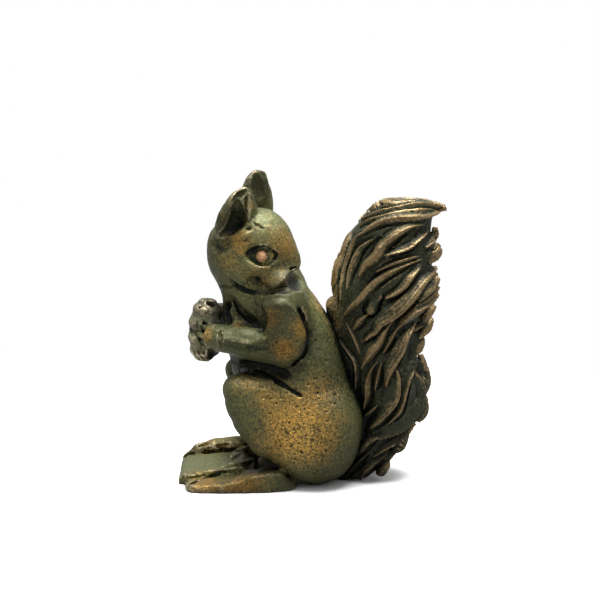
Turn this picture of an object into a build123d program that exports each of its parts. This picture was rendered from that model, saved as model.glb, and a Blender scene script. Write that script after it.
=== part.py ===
from build123d import *
import os
from math import cos, pi, radians, sin

# A sitting squirrel in cast bronze that holds a nut and looks back over its left shoulder.
# The frame stands on the ground under the middle of the figure: +Z up, toes towards -X,
# tail towards +X, and the left side of the animal towards -Y. Lengths are in millimetres.

# Trunk, from the ground up to the neck stump
trunk_height = 62.0
trunk_depth = 29.0
trunk_width = 27.0
trunk_x = 0.0

# Haunch, from the front of the knee back and down to the hip
haunch_length = 42.5
haunch_depth = 28.4
haunch_thickness = 13.0
haunch_slope = 35.4  # degrees
haunch_y = 10.5
knee_x = -25.6
knee_z = 32.2

# Head, from the back of the skull to the nose
head_length = 27.7
head_depth = 25.8
head_width = 21.0
head_turn = 25.0  # degrees from straight back towards the left side
head_dip = 14.0  # degrees below level
skull_x = -18.3
skull_y = -1.0
skull_z = 67.5

# Ears, each a cupped leaf with a peg in the skull
ear_length = 18.0
ear_width = 13.0
ear_thickness = 6.4
ear_wall = 1.4
ear_peg_radius = 0.7
ear_peg_length = 5.0
right_ear_x = -23.6
right_ear_y = -6.0
right_ear_z = 69.4
left_ear_x = -16.4
left_ear_y = 4.0
left_ear_z = 71.8

# Eyes, each a bead in an almond socket
eye_radius = 1.9
eye_ahead = 7.0
eye_above = 2.0
eye_out = 7.8
socket_length = 8.2
socket_height = 6.0
socket_depth = 1.5

# Mouth, a slit across the end of the snout
mouth_width = 7.0
mouth_length = 3.6
mouth_opening = 0.9
mouth_below = 1.7

# Arms, each an upper arm and a forearm in one casting with the paw, pegged into the trunk
arm_y = 11.6
shoulder_x = -8.6
shoulder_z = 56.5
upper_arm_length = 20.2
upper_arm_radius = 5.8
elbow_x = -3.6
elbow_z = 41.6
forearm_length = 29.0
forearm_radius = 5.2
paw_y = 6.4
left_paw_z = 43.4
right_paw_z = 46.8
arm_peg_radius = 1.6
arm_peg_length = 8.0
finger_radius = 1.25
finger_pitch = 2.3
finger_count = 3

# Nut, a rough oval lump between the paws
nut_length = 18.6
nut_radius = 4.7
nut_x = -31.2
nut_z = 43.8
nut_lean = 5.0  # degrees, top towards the chest
nut_scale_depth = 0.7
nut_fullness = 0.7

# Feet and the flat web between them
foot_length = 32.5
foot_width = 9.6
foot_rise = 8.0
foot_y = 11.8
toe_tip_x = -37.4
toe_groove_length = 13.0
toe_groove_width = 1.5
toe_groove_depth = 1.6
toe_groove_count = 2
foot_peg_radius = 1.5
foot_peg_length = 5.0
web_length = 20.0
web_height = 3.4
web_tip_x = -37.5

# Tail, a bent core that carries pointed locks
tail_height = 81.6
tail_depth = 26.8
tail_width = 22.0
lock_width = 5.6
lock_height = 2.6
lock_root_depth = 1.7

# Dowels and fits
dowel_radius = 1.5
dowel_length = 11.0
least_width = 0.001
seat_gap = 0.06
bore_gap = 0.05
bore_end_gap = 0.2

# Facets round a section and along a form
round_sides = 18
small_sides = 12
bead_sides = 10
finger_sides = 8
trunk_steps = 11
haunch_steps = 11
head_steps = 12
bead_steps = 8
nut_steps = 12
socket_steps = 8
limb_steps = 10
ear_steps = 8
foot_steps = 10
finger_steps = 5
lock_steps = 6

left = -1
right = 1
sides = {"left": left, "right": right}

# height, centre, depth, width; centre as a share of the trunk's depth
trunk_shares = [
    (0.00, -0.034, 0.42, 0.60),
    (0.10, -0.017, 0.66, 0.80),
    (0.26, -0.050, 0.93, 0.95),
    (0.45, -0.100, 1.00, 1.00),
    (0.61, -0.190, 0.99, 0.97),
    (0.74, -0.290, 0.97, 0.90),
    (0.87, -0.430, 0.84, 0.78),
    (1.00, -0.535, 0.66, 0.68),
]

# length from the knee, depth, thickness
haunch_shares = [
    (0.00, 0.00, 0.00),
    (0.03, 0.22, 0.40),
    (0.09, 0.35, 0.58),
    (0.18, 0.46, 0.70),
    (0.32, 0.63, 0.86),
    (0.48, 0.82, 0.97),
    (0.64, 0.99, 1.00),
    (0.78, 0.97, 0.93),
    (0.90, 0.72, 0.74),
    (0.97, 0.40, 0.45),
    (1.00, 0.00, 0.00),
]

# length from the back of the skull, crown above the axis, jaw below it, side to side
head_shares = [
    (0.00, 0.00, 0.00, 0.00),
    (0.03, 0.30, 0.28, 0.36),
    (0.10, 0.56, 0.55, 0.64),
    (0.20, 0.78, 0.72, 0.86),
    (0.32, 0.91, 0.83, 0.97),
    (0.44, 0.98, 0.88, 1.00),
    (0.56, 0.98, 0.85, 0.97),
    (0.69, 0.85, 0.76, 0.82),
    (0.81, 0.60, 0.60, 0.60),
    (0.90, 0.34, 0.42, 0.38),
    (0.96, 0.20, 0.24, 0.24),
    (1.00, 0.00, 0.00, 0.00),
]

# height, width, thickness
ear_shares = [
    (0.00, 0.60, 0.70),
    (0.22, 0.96, 1.00),
    (0.50, 0.94, 0.84),
    (0.72, 0.72, 0.62),
    (0.88, 0.48, 0.44),
    (1.00, 0.00, 0.00),
]

# length from the shoulder, radius
upper_arm_shares = [
    (0.00, 0.00),
    (0.05, 0.45),
    (0.18, 0.80),
    (0.42, 1.00),
    (0.68, 1.00),
    (0.88, 0.78),
    (0.96, 0.46),
    (1.00, 0.00),
]

# length from the elbow, radius
forearm_shares = [
    (0.00, 0.00),
    (0.04, 0.50),
    (0.14, 0.92),
    (0.28, 1.00),
    (0.46, 0.92),
    (0.64, 0.84),
    (0.78, 0.76),
    (0.88, 0.78),
    (0.95, 0.60),
    (1.00, 0.00),
]

# length from the knuckle, radius
finger_shares = [
    (0.00, 0.00),
    (0.10, 0.80),
    (0.40, 1.00),
    (0.80, 0.80),
    (0.95, 0.50),
    (1.00, 0.00),
]

# length from the heel, width, rise
foot_shares = [
    (0.00, 0.00, 0.00),
    (0.04, 0.46, 0.46),
    (0.18, 0.80, 0.98),
    (0.36, 0.94, 1.00),
    (0.56, 1.00, 0.80),
    (0.76, 1.00, 0.56),
    (0.90, 0.92, 0.44),
    (0.97, 0.66, 0.30),
    (1.00, 0.00, 0.00),
]

# height, centre as a share of the tail's depth, depth, width
tail_shares = [
    (0.00, 0.39, 0.48, 0.62),
    (0.08, 0.54, 0.52, 0.76),
    (0.17, 0.68, 0.56, 0.86),
    (0.27, 0.77, 0.71, 0.95),
    (0.36, 0.77, 0.80, 1.00),
    (0.47, 0.69, 0.82, 1.00),
    (0.57, 0.68, 0.96, 1.00),
    (0.70, 0.73, 1.04, 0.97),
    (0.80, 0.77, 0.98, 0.90),
    (0.89, 0.80, 0.87, 0.78),
    (0.96, 0.90, 0.74, 0.56),
    (1.00, 1.01, 0.60, 0.26),
]

# root height, root turn, tip height, tip turn, bow, width, stand-off of the tip as a share
# of the tail's depth; turns in degrees from the front edge round to the back edge
lock_shares = [
    (0.80, 6, 0.985, 70, 0, 0.80, 0.00),
    (0.92, 20, 0.985, 176, 0, 0.90, 0.08),
    (0.87, 16, 0.965, 178, 0, 0.90, 0.06),
    (0.74, 45, 0.93, 130, 0, 1.00, 0.02),
    (0.84, 93, 0.91, 156, 0, 0.70, 0.04),
    (0.60, 28, 0.82, 132, 0, 1.00, 0.02),
    (0.69, 90, 0.81, 146, 0, 0.70, 0.02),
    (0.56, 42, 0.63, 68, 0, 0.45, 0.00),
    (0.54, 60, 0.78, 175, -8, 1.00, 0.03),
    (0.78, 138, 0.87, 178, 0, 0.70, 0.09),
    (0.66, 130, 0.76, 178, 0, 0.80, 0.08),
    (0.55, 98, 0.69, 176, 0, 0.90, 0.09),
    (0.42, 44, 0.58, 102, 0, 0.80, 0.01),
    (0.27, 46, 0.48, 76, -8, 0.80, 0.00),
    (0.46, 98, 0.58, 144, 0, 0.90, 0.03),
    (0.21, 66, 0.46, 100, 8, 0.85, 0.01),
    (0.17, 55, 0.31, 172, 0, 1.00, 0.03),
    (0.29, 168, 0.47, 146, 12, 0.90, 0.04),
    (0.08, 40, 0.20, 74, 0, 0.70, 0.00),
    (0.19, 150, 0.32, 177, 0, 0.75, 0.06),
    (0.10, 100, 0.21, 170, 0, 0.80, 0.05),
    (0.03, 90, 0.13, 174, 0, 0.70, 0.03),
    (0.36, 110, 0.48, 164, 0, 0.80, 0.03),
    (0.33, 84, 0.44, 126, 0, 0.70, 0.01),
    (0.44, 138, 0.57, 177, 0, 0.80, 0.06),
    (0.03, 30, 0.24, 40, 0, 0.50, 0.00),
    (0.26, 18, 0.50, 34, 0, 0.50, 0.00),
    (0.48, 14, 0.72, 34, 0, 0.60, 0.00),
    (0.68, 8, 0.88, 30, 0, 0.60, 0.00),
]


def stations(rows, steps):
    """Rows at even steps on a smooth run through the given rows."""
    last = len(rows) - 1
    run = []
    for step in range(steps + 1):
        place = last * step / steps
        low = min(int(place), last - 1)
        t = place - low
        near = [rows[min(max(low + k, 0), last)] for k in (-1, 0, 1, 2)]
        run.append([
            b + ((c - a) * t + (2 * a - 5 * b + 4 * c - d) * t**2 + (3 * b - 3 * c + d - a) * t**3) / 2
            for a, b, c, d in zip(*near)
        ])
    return run


def ring(plane, half_width, rise, fall, count):
    """Corners of an oval section that may stand higher above its middle than it hangs below."""
    if half_width < least_width:
        return [plane.origin]
    corners = []
    for turn in range(count):
        angle = 2 * pi * (turn + 0.5) / count
        height = (rise if sin(angle) > 0 else fall) * sin(angle)
        corners.append(plane.from_local_coords(Vector(half_width * cos(angle), height)))
    return corners


def facet(*corners):
    return Face(Wire.make_polygon(corners))


def faceted(rings, parallel=False):
    """A solid in flat facets from section to section; a section of one corner is a tip.

    Sections with parallel sides need one facet from side to side, others need two.
    """
    faces = []
    for low, high in zip(rings, rings[1:]):
        for turn in range(max(len(low), len(high))):
            a, b = low[turn % len(low)], low[(turn + 1) % len(low)]
            c, d = high[turn % len(high)], high[(turn + 1) % len(high)]
            if parallel and len(low) == len(high):
                faces.append(facet(a, b, d, c))
                continue
            if len(low) > 1:
                faces.append(facet(a, b, d))
            if len(high) > 1:
                faces.append(facet(a, d, c))
    faces += [facet(*end) for end in (rings[0], rings[-1]) if len(end) > 1]
    return Solid(Shell(faces))


def grown(size, gap):
    return size + gap if size > least_width else size


def trunk_form(gap=0):
    """The trunk; its neck stump grows in height too when it cuts its seat in the head."""
    rings = []
    for height, centre, depth, width in stations(trunk_shares, trunk_steps):
        plane = Plane(origin=(trunk_x + centre * trunk_depth, 0, height * trunk_height))
        half_width = width * trunk_width / 2 + gap
        rings.append(ring(plane, depth * trunk_depth / 2 + gap, half_width, half_width, round_sides))
    if gap:
        rings.append([corner + Vector(0, 0, gap) for corner in rings[-1]])
    return faceted(rings)


def haunch_form(side, gap=0):
    slope = radians(haunch_slope)
    knee = Vector(knee_x, side * haunch_y, knee_z)
    along = Vector(cos(slope), 0, -sin(slope))
    rings = []
    for length, depth, thickness in stations(haunch_shares, haunch_steps):
        plane = Plane(origin=knee + along * (length * haunch_length), x_dir=(0, 1, 0), z_dir=along)
        half_depth = grown(depth * haunch_depth / 2, gap)
        half_thickness = grown(thickness * haunch_thickness / 2, gap)
        rings.append(ring(plane, half_thickness, half_depth, half_depth, round_sides))
    return faceted(rings)


turn_angle = radians(head_turn)
dip_angle = radians(head_dip)
gaze = Vector(cos(dip_angle) * cos(turn_angle), -cos(dip_angle) * sin(turn_angle), -sin(dip_angle))
face_left = Vector(sin(turn_angle), cos(turn_angle), 0)
face_up = gaze.cross(face_left)
skull = Vector(skull_x, skull_y, skull_z)
skull_back_share = 0.42
half_head = head_width / 2


def head_form(gap=0):
    rings = []
    for length, crown, jaw, width in stations(head_shares, head_steps):
        middle = skull + gaze * ((length - skull_back_share) * head_length)
        plane = Plane(origin=middle, x_dir=face_left, z_dir=gaze)
        rise = grown(crown * head_depth / 2, gap)
        fall = grown(jaw * head_depth / 2, gap)
        rings.append(ring(plane, grown(width * half_head, gap), rise, fall, round_sides))
    return faceted(rings)


def ear_form(base, axis, facing, hollow=False):
    """A leaf on its axis; the hollow is a smaller leaf that lies towards the facing side."""
    across = axis.cross(facing).normalized()
    forward = across.cross(axis).normalized()
    share = 1 - 2 * ear_wall / ear_width if hollow else 1
    start = base + forward * (ear_thickness / 2) if hollow else base
    rings = []
    for height, width, thickness in stations(ear_shares, ear_steps):
        plane = Plane(origin=start + axis * (height * share * ear_length), x_dir=across, z_dir=axis)
        half_thickness = thickness * share * ear_thickness / 2
        rings.append(ring(plane, width * share * ear_width / 2, half_thickness, half_thickness, small_sides))
    return faceted(rings)


def bead_form(middle, radius):
    """A round bead in facets."""
    rings = []
    for step in range(bead_steps + 1):
        tilt = pi * step / bead_steps
        plane = Plane(origin=middle + Vector(0, 0, -radius * cos(tilt)))
        across = radius * sin(tilt) if 0 < step < bead_steps else 0
        rings.append(ring(plane, across, across, across, bead_sides))
    return faceted(rings)


def limb_form(start, end, rows, radius, steps, count):
    """A straight limb that swells and tapers round the line from start to end."""
    along = end - start
    rings = []
    for length, share in stations(rows, steps):
        plane = Plane(origin=start + along * length, x_dir=(0, 1, 0), z_dir=along)
        rings.append(ring(plane, *(share * radius,) * 3, count))
    return faceted(rings)


def upper_arm_form(side):
    shoulder = Vector(shoulder_x, side * arm_y, shoulder_z)
    below = Vector(shoulder_x, side * arm_y, shoulder_z - upper_arm_length)
    return limb_form(shoulder, below, upper_arm_shares, upper_arm_radius, limb_steps, small_sides)


def forearm_form(side, paw_z):
    elbow = Vector(elbow_x, side * arm_y, elbow_z)
    paw = Vector(nut_x, side * paw_y, paw_z)
    tip = elbow + (paw - elbow).normalized() * forearm_length
    return limb_form(elbow, tip, forearm_shares, forearm_radius, limb_steps, small_sides)


def finger_form(side, paw_z, place):
    """A finger from the paw round the front of the nut."""
    height = paw_z + (place - (finger_count - 1) / 2) * finger_pitch
    knuckle = Vector(nut_x + finger_radius, side * (nut_radius + finger_radius), height)
    tip = Vector(nut_x - nut_radius, side * finger_radius, height + finger_radius)
    return limb_form(knuckle, tip, finger_shares, finger_radius, finger_steps, finger_sides)


def nut_form(gap=0):
    """A lumpy oval: every other ring of scales stands proud."""
    lean = radians(nut_lean)
    axis = Vector(sin(lean), 0, cos(lean))
    rings = []
    for step in range(nut_steps + 1):
        tilt = pi * step / nut_steps
        middle = Vector(nut_x, 0, nut_z) - axis * (cos(tilt) * nut_length / 2)
        across = nut_radius * sin(tilt) ** nut_fullness + nut_scale_depth * (step % 2) + gap
        across = across if 0 < step < nut_steps else 0
        plane = Plane(origin=middle, x_dir=(0, 1, 0), z_dir=axis)
        rings.append(ring(plane, across, across, across, small_sides))
    return faceted(rings)


def foot_form(side, gap=0):
    rings = []
    for length, width, rise in stations(foot_shares, foot_steps):
        heel_x = toe_tip_x + foot_length
        middle = Vector(heel_x - length * foot_length, side * foot_y, 0)
        plane = Plane(origin=middle, x_dir=(0, -1, 0), z_dir=(-1, 0, 0))
        half_width = grown(width * foot_width / 2, gap)
        rings.append(ring(plane, half_width, grown(rise * foot_rise, gap), half_width, small_sides))
    return faceted(rings)


def wedge_form(section, run):
    """A cutter with one section of three corners along a run."""
    return faceted([section, [corner + run for corner in section]], parallel=True)


toe_groove_start_share = 0.08
toe_groove_end_share = 0.68


def toe_groove_form(side, place):
    """The groove between two toes, which runs out on the top of the foot."""
    across = side * foot_y + (place - (toe_groove_count - 1) / 2) * foot_width / (toe_groove_count + 1)
    tip = Vector(toe_tip_x, across, toe_groove_start_share * foot_rise)
    run = Vector(toe_groove_length, 0, (toe_groove_end_share - toe_groove_start_share) * foot_rise)
    lip = Vector(0, toe_groove_width / 2, toe_groove_depth)
    return wedge_form([tip, tip + lip, tip + Vector(0, -lip.Y, lip.Z)], run)


def mouth_form():
    """A thin wedge that opens towards the nose."""
    nose = skull + gaze * ((1 - skull_back_share) * head_length) - face_up * mouth_below
    corner = nose - face_left * (mouth_width / 2)
    lips = [corner + face_up * (mouth_opening / 2), corner - face_up * (mouth_opening / 2)]
    return wedge_form([corner - gaze * mouth_length, *lips], face_left * mouth_width)


def tail_point(height, turn, side, out=0):
    """A place on the core, with the way straight out of it there."""
    rows = [row for row in tail_shares if row[0] <= height]
    low = rows[-1] if len(rows) < len(tail_shares) else tail_shares[-2]
    high = tail_shares[tail_shares.index(low) + 1]
    t = (height - low[0]) / (high[0] - low[0])
    centre, depth, width = [a + (b - a) * t for a, b in zip(low[1:], high[1:])]
    half_depth, half_width = depth * tail_depth / 2, width * tail_width / 2
    angle = radians(turn)
    normal = Vector(-cos(angle) / half_depth, side * sin(angle) / half_width, 0).normalized()
    surface = Vector(
        centre * tail_depth - half_depth * cos(angle),
        side * half_width * sin(angle),
        height * tail_height,
    )
    return surface + normal * out, normal


def tail_core():
    rings = []
    for height, centre, depth, width in tail_shares:
        plane = Plane(origin=(centre * tail_depth, 0, height * tail_height))
        half_width = width * tail_width / 2
        rings.append(ring(plane, depth * tail_depth / 2, half_width, half_width, round_sides))
    return faceted(rings)


def lock_form(row, side):
    """One lock of fur: a spindle whose sections are all alike and parallel, so its facets are flat."""
    root_height, root_turn, tip_height, tip_turn, bow, width, stand_off = row
    route = []
    for step in range(lock_steps + 1):
        t = step / lock_steps
        height = root_height + (tip_height - root_height) * t
        turn = root_turn + (tip_turn - root_turn) * t + 4 * bow * t * (1 - t)
        point, normal = tail_point(height, turn, side, stand_off * tail_depth * t**2)
        route.append((point, normal, t))
    chord = route[-1][0] - route[0][0]
    out = route[lock_steps // 2][1]
    plane = Plane(origin=(0, 0, 0), x_dir=out.cross(chord), z_dir=chord)
    half = width * lock_width / 2
    crest, root = width * lock_height, width * lock_root_depth
    skew_share = 0.3
    kite = [(-half, 0), (0, -root), (half, 0), (skew_share * half * side, crest)]
    rings = []
    for point, _, t in route:
        size = sin(pi * t) ** 0.7 if 0 < t < 1 else 0
        corners = [point + plane.x_dir * (x * size) + plane.y_dir * (y * size) for x, y in kite]
        rings.append(corners if size else [point])
    return faceted(rings, parallel=True)


def bore(plane, radius, length):
    """The bore for a dowel or peg that lies centred on its plane."""
    return Solid.make_cylinder(
        radius + bore_gap,
        length + 2 * bore_end_gap,
        plane.offset(-length / 2 - bore_end_gap),
    )


def peg(plane, radius, length):
    """A dowel or peg that lies centred on its plane."""
    return Solid.make_cylinder(radius, length, plane.offset(-length / 2))


def back_x(height):
    """Where the back of the trunk is at a share of its height."""
    run = stations(trunk_shares, trunk_steps)
    row = min(run, key=lambda station: abs(station[0] - height))
    return trunk_x + (row[1] + row[2] / 2) * trunk_depth


neck_x = trunk_x + trunk_shares[-1][1] * trunk_depth
head_dowel = Plane(origin=(neck_x, 0, trunk_height))
tail_dowel_shares = {"lower": 0.18, "upper": 0.55}
tail_dowels = {
    name: Plane(origin=(back_x(share), 0, share * trunk_height), z_dir=(1, 0, 0))
    for name, share in tail_dowel_shares.items()
}
shoulder_drop_share = 0.4
arm_pegs = {
    name: Plane(
        origin=(shoulder_x, side * (arm_y - arm_peg_length / 4), shoulder_z - shoulder_drop_share * upper_arm_length),
        z_dir=(0, side, 0),
    )
    for name, side in sides.items()
}
foot_pegs = {
    name: Plane(origin=(toe_tip_x + foot_length - foot_width / 2, side * foot_y, foot_peg_length))
    for name, side in sides.items()
}

ear_seat_share = 0.36

# base, way from base to tip, way that the hollow faces
ear_frames = {
    "right": (
        Vector(right_ear_x, right_ear_y, right_ear_z),
        Vector(0.24, -0.10, 0.97).normalized(),
        Vector(0.42, -0.90, 0.10),
    ),
    "left": (
        Vector(left_ear_x, left_ear_y, left_ear_z),
        Vector(0.06, 0.04, 1.00).normalized(),
        Vector(0.62, -0.78, 0.10),
    ),
}

ear_pegs = {
    name: Plane(origin=base + axis * (ear_seat_share * ear_length), z_dir=axis)
    for name, (base, axis, facing) in ear_frames.items()
}

# The right eye is the one that looks at the viewer, on the side towards -Y
eyes = {
    name: skull + gaze * eye_ahead + face_up * eye_above + face_left * (-side * eye_out)
    for name, side in sides.items()
}


def socket_form(name):
    """The almond hollow round an eye."""
    middle = eyes[name] + face_left * (-sides[name] * eye_radius / 2)
    rings = []
    for step in range(socket_steps + 1):
        tilt = pi * step / socket_steps
        plane = Plane(origin=middle - gaze * (cos(tilt) * socket_length / 2), x_dir=face_left, z_dir=gaze)
        across = sin(tilt) if 0 < step < socket_steps else 0
        rings.append(ring(plane, across * socket_depth, *(across * socket_height / 2,) * 2, finger_sides))
    return faceted(rings)


trunk_seat = trunk_form(seat_gap)
haunch_seats = {name: haunch_form(side, seat_gap) for name, side in sides.items()}
head_seat = head_form(seat_gap)
nut_seat = nut_form(seat_gap)
foot_seats = {name: foot_form(side, seat_gap) for name, side in sides.items()}

pieces = []


def finish(part, label):
    """Keep a piece under its label, as its one main solid."""
    piece = part.solids().sort_by(SortBy.VOLUME)[-1]
    piece.label = label
    pieces.append(piece)


# Body: trunk, neck stump and both haunches in one casting
with BuildPart() as body:
    add(trunk_form(), clean=False)
    add([haunch_form(side) for side in sides.values()], clean=False)
    split(bisect_by=Plane.XY, keep=Keep.TOP)
    add(bore(head_dowel, dowel_radius, dowel_length), mode=Mode.SUBTRACT, clean=False)
    add([bore(plane, dowel_radius, dowel_length) for plane in tail_dowels.values()], mode=Mode.SUBTRACT, clean=False)
    add([bore(plane, arm_peg_radius, arm_peg_length) for plane in arm_pegs.values()], mode=Mode.SUBTRACT, clean=False)
    add([bore(plane, foot_peg_radius, foot_peg_length) for plane in foot_pegs.values()], mode=Mode.SUBTRACT, clean=False)
finish(body.part, "body")

# Head, seated on the neck stump, with a mortise for each ear and a socket round each eye
with BuildPart() as head:
    add(head_form(), clean=False)
    add(trunk_seat, mode=Mode.SUBTRACT, clean=False)
    add(bore(head_dowel, dowel_radius, dowel_length), mode=Mode.SUBTRACT, clean=False)
    add([bore(plane, ear_peg_radius, ear_peg_length) for plane in ear_pegs.values()], mode=Mode.SUBTRACT, clean=False)
    add([socket_form(name) for name in sides], mode=Mode.SUBTRACT, clean=False)
    add(mouth_form(), mode=Mode.SUBTRACT, clean=False)
    add([bead_form(middle, eye_radius + bore_gap) for middle in eyes.values()], mode=Mode.SUBTRACT, clean=False)
finish(head.part, "head")

for name in sides:
    with BuildPart() as eye:
        add(bead_form(eyes[name], eye_radius))
    finish(eye.part, f"{name}_eye")

for name in sides:
    base, axis, facing = ear_frames[name]
    with BuildPart() as ear:
        add(ear_form(base, axis, facing), clean=False)
        add(ear_form(base, axis, facing, hollow=True), mode=Mode.SUBTRACT, clean=False)
        add(head_seat, mode=Mode.SUBTRACT, clean=False)
        add(peg(ear_pegs[name], ear_peg_radius, ear_peg_length), clean=False)
    finish(ear.part, f"{name}_ear")

paw_heights = {"left": left_paw_z, "right": right_paw_z}
for name, side in sides.items():
    with BuildPart() as arm:
        add(upper_arm_form(side), clean=False)
        add(forearm_form(side, paw_heights[name]), clean=False)
        add([finger_form(side, paw_heights[name], place) for place in range(finger_count)], clean=False)
        add(trunk_seat, mode=Mode.SUBTRACT, clean=False)
        add(nut_seat, mode=Mode.SUBTRACT, clean=False)
        add(peg(arm_pegs[name], arm_peg_radius, arm_peg_length), clean=False)
    finish(arm.part, f"{name}_arm")

with BuildPart() as nut:
    add(nut_form())
finish(nut.part, "nut")

for name, side in sides.items():
    with BuildPart() as foot:
        add(foot_form(side), clean=False)
        split(bisect_by=Plane.XY, keep=Keep.TOP)
        add(trunk_seat, mode=Mode.SUBTRACT, clean=False)
        add(haunch_seats[name], mode=Mode.SUBTRACT, clean=False)
        add([toe_groove_form(side, place) for place in range(toe_groove_count)], mode=Mode.SUBTRACT, clean=False)
        add(peg(foot_pegs[name], foot_peg_radius, foot_peg_length), clean=False)
    finish(foot.part, f"{name}_foot")

with BuildPart() as web:
    with BuildSketch():
        with Locations((web_tip_x + web_length / 2, 0)):
            Rectangle(web_length, 2 * foot_y - foot_width / 2)
    extrude(amount=web_height)
    add(list(foot_seats.values()), mode=Mode.SUBTRACT, clean=False)
    add(trunk_seat, mode=Mode.SUBTRACT, clean=False)
    add(list(haunch_seats.values()), mode=Mode.SUBTRACT, clean=False)
finish(web.part, "foot_web")

with BuildPart() as tail:
    add(tail_core(), clean=False)
    add([lock_form(row, side) for row in lock_shares for side in sides.values()], clean=False)
    split(bisect_by=Plane.XY, keep=Keep.TOP)
    add(trunk_seat, mode=Mode.SUBTRACT, clean=False)
    add(list(haunch_seats.values()), mode=Mode.SUBTRACT, clean=False)
    add([bore(plane, dowel_radius, dowel_length) for plane in tail_dowels.values()], mode=Mode.SUBTRACT, clean=False)
finish(tail.part, "tail")

with BuildPart(head_dowel) as dowel:
    Cylinder(dowel_radius, dowel_length)
finish(dowel.part, "head_dowel")

for name, plane in tail_dowels.items():
    with BuildPart(plane) as dowel:
        Cylinder(dowel_radius, dowel_length)
    finish(dowel.part, f"{name}_tail_dowel")

os.makedirs("parts", exist_ok=True)
for piece in pieces:
    export_step(piece, f"parts/{piece.label}.step")
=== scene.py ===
# %% [markdown]
# # A small cast bronze squirrel
#
# The figure is a hand-modelled wax turned into bronze by lost-wax casting: soft lumps pressed
# together, grooves drawn with a wire tool, and a dark patina that hands have rubbed off the high
# places. This file goes the same way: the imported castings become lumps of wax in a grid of
# distances, tool marks are drawn on them, and the metal is coloured.

from itertools import product
from math import cos, pi, radians, sin

import bpy
import numpy as np
import openvdb
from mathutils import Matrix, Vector


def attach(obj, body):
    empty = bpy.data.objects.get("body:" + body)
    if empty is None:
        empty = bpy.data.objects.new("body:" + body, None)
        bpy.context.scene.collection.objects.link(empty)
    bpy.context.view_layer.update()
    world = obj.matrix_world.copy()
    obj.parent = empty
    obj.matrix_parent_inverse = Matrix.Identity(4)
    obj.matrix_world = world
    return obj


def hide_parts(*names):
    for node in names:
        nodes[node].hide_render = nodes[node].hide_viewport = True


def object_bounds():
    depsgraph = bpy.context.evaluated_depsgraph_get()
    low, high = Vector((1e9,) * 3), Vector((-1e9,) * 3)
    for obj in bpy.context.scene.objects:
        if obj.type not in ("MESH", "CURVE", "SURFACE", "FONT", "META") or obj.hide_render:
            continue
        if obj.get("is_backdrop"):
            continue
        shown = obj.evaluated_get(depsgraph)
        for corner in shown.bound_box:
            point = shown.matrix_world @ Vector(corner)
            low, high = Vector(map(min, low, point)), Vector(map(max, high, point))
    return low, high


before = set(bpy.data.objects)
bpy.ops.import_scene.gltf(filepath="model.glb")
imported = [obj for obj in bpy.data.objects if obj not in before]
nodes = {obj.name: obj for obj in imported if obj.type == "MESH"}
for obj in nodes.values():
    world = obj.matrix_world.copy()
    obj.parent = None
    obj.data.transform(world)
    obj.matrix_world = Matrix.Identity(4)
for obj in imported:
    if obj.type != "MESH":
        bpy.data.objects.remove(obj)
cad_low, cad_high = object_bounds()
mm = 0.001
scene = bpy.context.scene
chance = np.random.default_rng(7)
print("castings in the frame:", sorted(nodes))


def add_object(name, data):
    """Put data in the scene as an object."""
    added = bpy.data.objects.new(name, data)
    scene.collection.objects.link(added)
    return added


# %% [markdown]
# ## Camera
#
# The photograph was taken from close by, a little above the figure, square on to its left side.
# A camera could be placed by eye, but the perspective of the feet tells how far off it stood. Sizes
# are in millimetres, and a picture point is one of 600 across the picture.

# %% Camera at the photographer's place
camera_distance = 520
camera_fall = radians(13)
view_width = 171
picture_points = 600
sensor_width = 36
near_limit = 10
aim = np.array([-4.3, 0, 52.5])
sight_right = np.array([1, 0, 0])
sight_up = np.array([0, sin(camera_fall), cos(camera_fall)])
eye = aim + camera_distance * np.array([0, -cos(camera_fall), sin(camera_fall)])

camera_data = bpy.data.cameras.new("camera")
camera = add_object("camera", camera_data)
camera_data.sensor_width = sensor_width
camera_data.lens = sensor_width * camera_distance / view_width
camera_data.clip_start = near_limit * mm
camera.location = eye * mm
camera.rotation_euler = (pi / 2 - camera_fall, 0, 0)
scene.camera = camera
print("camera at", [round(x, 3) for x in camera.location])

# %% [markdown]
# ## Wax in a grid of distances
#
# Wax lumps melt into each other, where booleans on polygons would leave hard seams. In a grid of
# distances to the surface, the smaller of two distances joins two lumps, and a rounded version of
# it leaves the fillet of a thumb. The CAD castings are the lumps.

# %% The block of wax
voxel = 0.3
band = 14
margin = 2.4
block_low = np.floor((np.array(cad_low) / mm - margin) / voxel).astype(int)
block_high = np.ceil((np.array(cad_high) / mm + margin) / voxel).astype(int)
shape = tuple(int(n) for n in block_high - block_low)
ticks = [(block_low[axis] + np.arange(shape[axis])) * voxel for axis in range(3)]
print("wax block of", shape, "grid points")


# %% Castings as fields of distances
def casting(name):
    """Corners and triangles of a CAD node."""
    mesh = nodes[name].data
    mesh.calc_loop_triangles()
    points = np.zeros(len(mesh.vertices) * 3, np.float32)
    mesh.vertices.foreach_get("co", points)
    triangles = np.zeros(len(mesh.loop_triangles) * 3, np.int32)
    mesh.loop_triangles.foreach_get("vertices", triangles)
    return points.reshape(-1, 3) / mm, triangles.reshape(-1, 3).astype(np.uint32)


def lump(name):
    """Distance field of a CAD node over the whole block."""
    points, triangles = casting(name)
    steps = openvdb.createLinearTransform(voxelSize=voxel)
    grid = openvdb.FloatGrid.createLevelSetFromPolygons(
        points, triangles, transform=steps, halfWidth=float(band)
    )
    field = np.full(shape, band * voxel, np.float32)
    grid.copyToArray(field, ijk=tuple(int(i) for i in block_low))
    return field


names = [name for name in sorted(nodes) if "dowel" not in name]
lumps = {name: lump(name) for name in names}
figure_names = [name for name in names if name != "tail"]
print("lumps:", names)

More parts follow.
